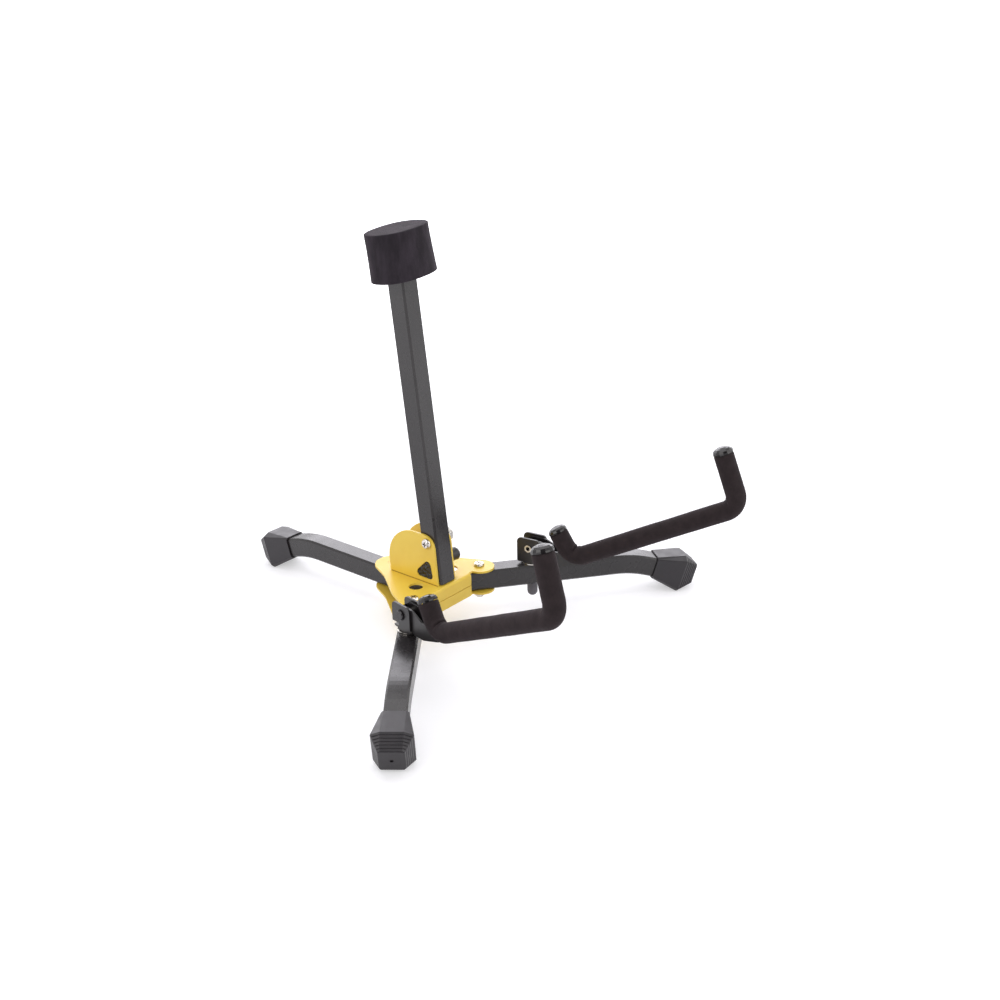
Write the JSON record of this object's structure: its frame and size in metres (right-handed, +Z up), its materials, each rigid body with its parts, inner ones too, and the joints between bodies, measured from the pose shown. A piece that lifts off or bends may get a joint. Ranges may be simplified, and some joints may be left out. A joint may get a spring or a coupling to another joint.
{
  "type": "folding guitar stand",
  "caption": "Low folding A-frame stand for an acoustic guitar: square-tube legs on a yellow pressed hub, short upright with foam head, swivelling foam-covered cradle yokes.",
  "frame": {"origin": "on the floor, under the centre of the whole stand's box", "axes": "+Z up from the boot soles, -Y to the front where the cradles reach out, X across"},
  "size_m": [0.3636, 0.3934, 0.3038],
  "materials": {
    "hub_paint": "satin yellow powder coat on pressed steel",
    "black_tube": "satin black powder coat on square steel tube",
    "black_steel": "semi-gloss black coated steel",
    "nickel": "bright nickel plate",
    "nylon": "natural nylon",
    "grey_plastic": "moulded grey plastic",
    "head_foam": "matte charcoal closed-cell foam",
    "gloss_black": "glossy black plastic",
    "rubber": "matte black moulded rubber",
    "foam": "matte dark brown-black foam sleeve"
  },
  "bodies": {
    "hub": {"hub_top_plate": "hub_paint", "hub_bottom_plate": "hub_paint", "rear_leg": "black_tube", "rear_leg_rivet_front": "hub_paint", "rear_leg_rivet_back": "hub_paint", "rear_boot": "rubber", "left_leg_bolt": "nickel", "left_leg_nut": "nickel", "left_leg_sleeve": "nylon", "right_leg_bolt": "nickel", "right_leg_nut": "nickel", "right_leg_sleeve": "nylon", "upright_bolt": "nickel", "upright_nut": "nickel", "lock_barrel": "black_steel", "lock_insert": "gloss_black", "lock_spring": "nickel"},
    "upright": {"upright_tube": "black_tube", "upright_bush": "nylon", "upright_plug": "grey_plastic", "foam_head": "head_foam"},
    "lock": {"lock_pin": "nickel", "lock_knob": "gloss_black"},
    "left_leg": {"front_left_leg": "black_tube", "front_left_boot": "rubber", "left_post": "black_steel", "left_post_cap": "grey_plastic"},
    "left_bracket": {"left_bracket": "black_steel", "left_bracket_washer": "nickel", "left_bracket_rivet": "nickel"},
    "left_yoke": {"left_arm": "black_steel", "left_rod": "black_steel", "left_foam_sleeve": "foam", "left_inner_cap": "gloss_black", "left_outer_cap": "gloss_black"},
    "right_leg": {"front_right_leg": "black_tube", "front_right_boot": "rubber", "right_post": "black_steel", "right_post_cap": "grey_plastic"},
    "right_bracket": {"right_bracket": "black_steel", "right_bracket_washer": "nickel", "right_bracket_rivet": "nickel"},
    "right_yoke": {"right_arm": "black_steel", "right_rod": "black_steel", "right_foam_sleeve": "foam", "right_inner_cap": "gloss_black", "right_outer_cap": "gloss_black"}
  },
  "joints": [
    {"name": "upright_fold", "type": "hinge", "parent": "hub", "child": "upright", "pos_m": [0, 0.00366, 0.06903], "axis": [-1, 0, 0], "range_deg": [0, 83]},
    {"name": "lock_pull", "type": "slide", "parent": "hub", "child": "lock", "axis": [1, 0, 0], "range_m": [0, 0.003], "stiffness_N_per_m": 300, "springref_m": -0.001, "deforming": ["lock_spring"]},
    {"name": "left_leg_swing", "type": "hinge", "parent": "hub", "child": "left_leg", "pos_m": [-0.0374, -0.0063, 0.0263], "axis": [0, 0, -1], "range_deg": [0, 127]},
    {"name": "left_yoke_swivel", "type": "hinge", "parent": "left_leg", "child": "left_bracket", "pos_m": [-0.07104, -0.03244, 0.03703], "axis": [0, 0, -1], "range_deg": [-20, 38]},
    {"name": "left_yoke_lift", "type": "hinge", "parent": "left_bracket", "child": "left_yoke", "pos_m": [-0.07104, -0.03244, 0.04803], "axis": [-0.9853, 0.1709, 0], "range_deg": [0, 80]},
    {"name": "right_leg_swing", "type": "hinge", "parent": "hub", "child": "right_leg", "pos_m": [0.0374, -0.0063, 0.0263], "axis": [0, 0, 1], "range_deg": [0, 127]},
    {"name": "right_yoke_swivel", "type": "hinge", "parent": "right_leg", "child": "right_bracket", "pos_m": [0.07104, -0.03244, 0.03703], "axis": [0, 0, 1], "range_deg": [-20, 38]},
    {"name": "right_yoke_lift", "type": "hinge", "parent": "right_bracket", "child": "right_yoke", "pos_m": [0.07104, -0.03244, 0.04803], "axis": [-0.9853, -0.1709, 0], "range_deg": [0, 80]}
  ]
}
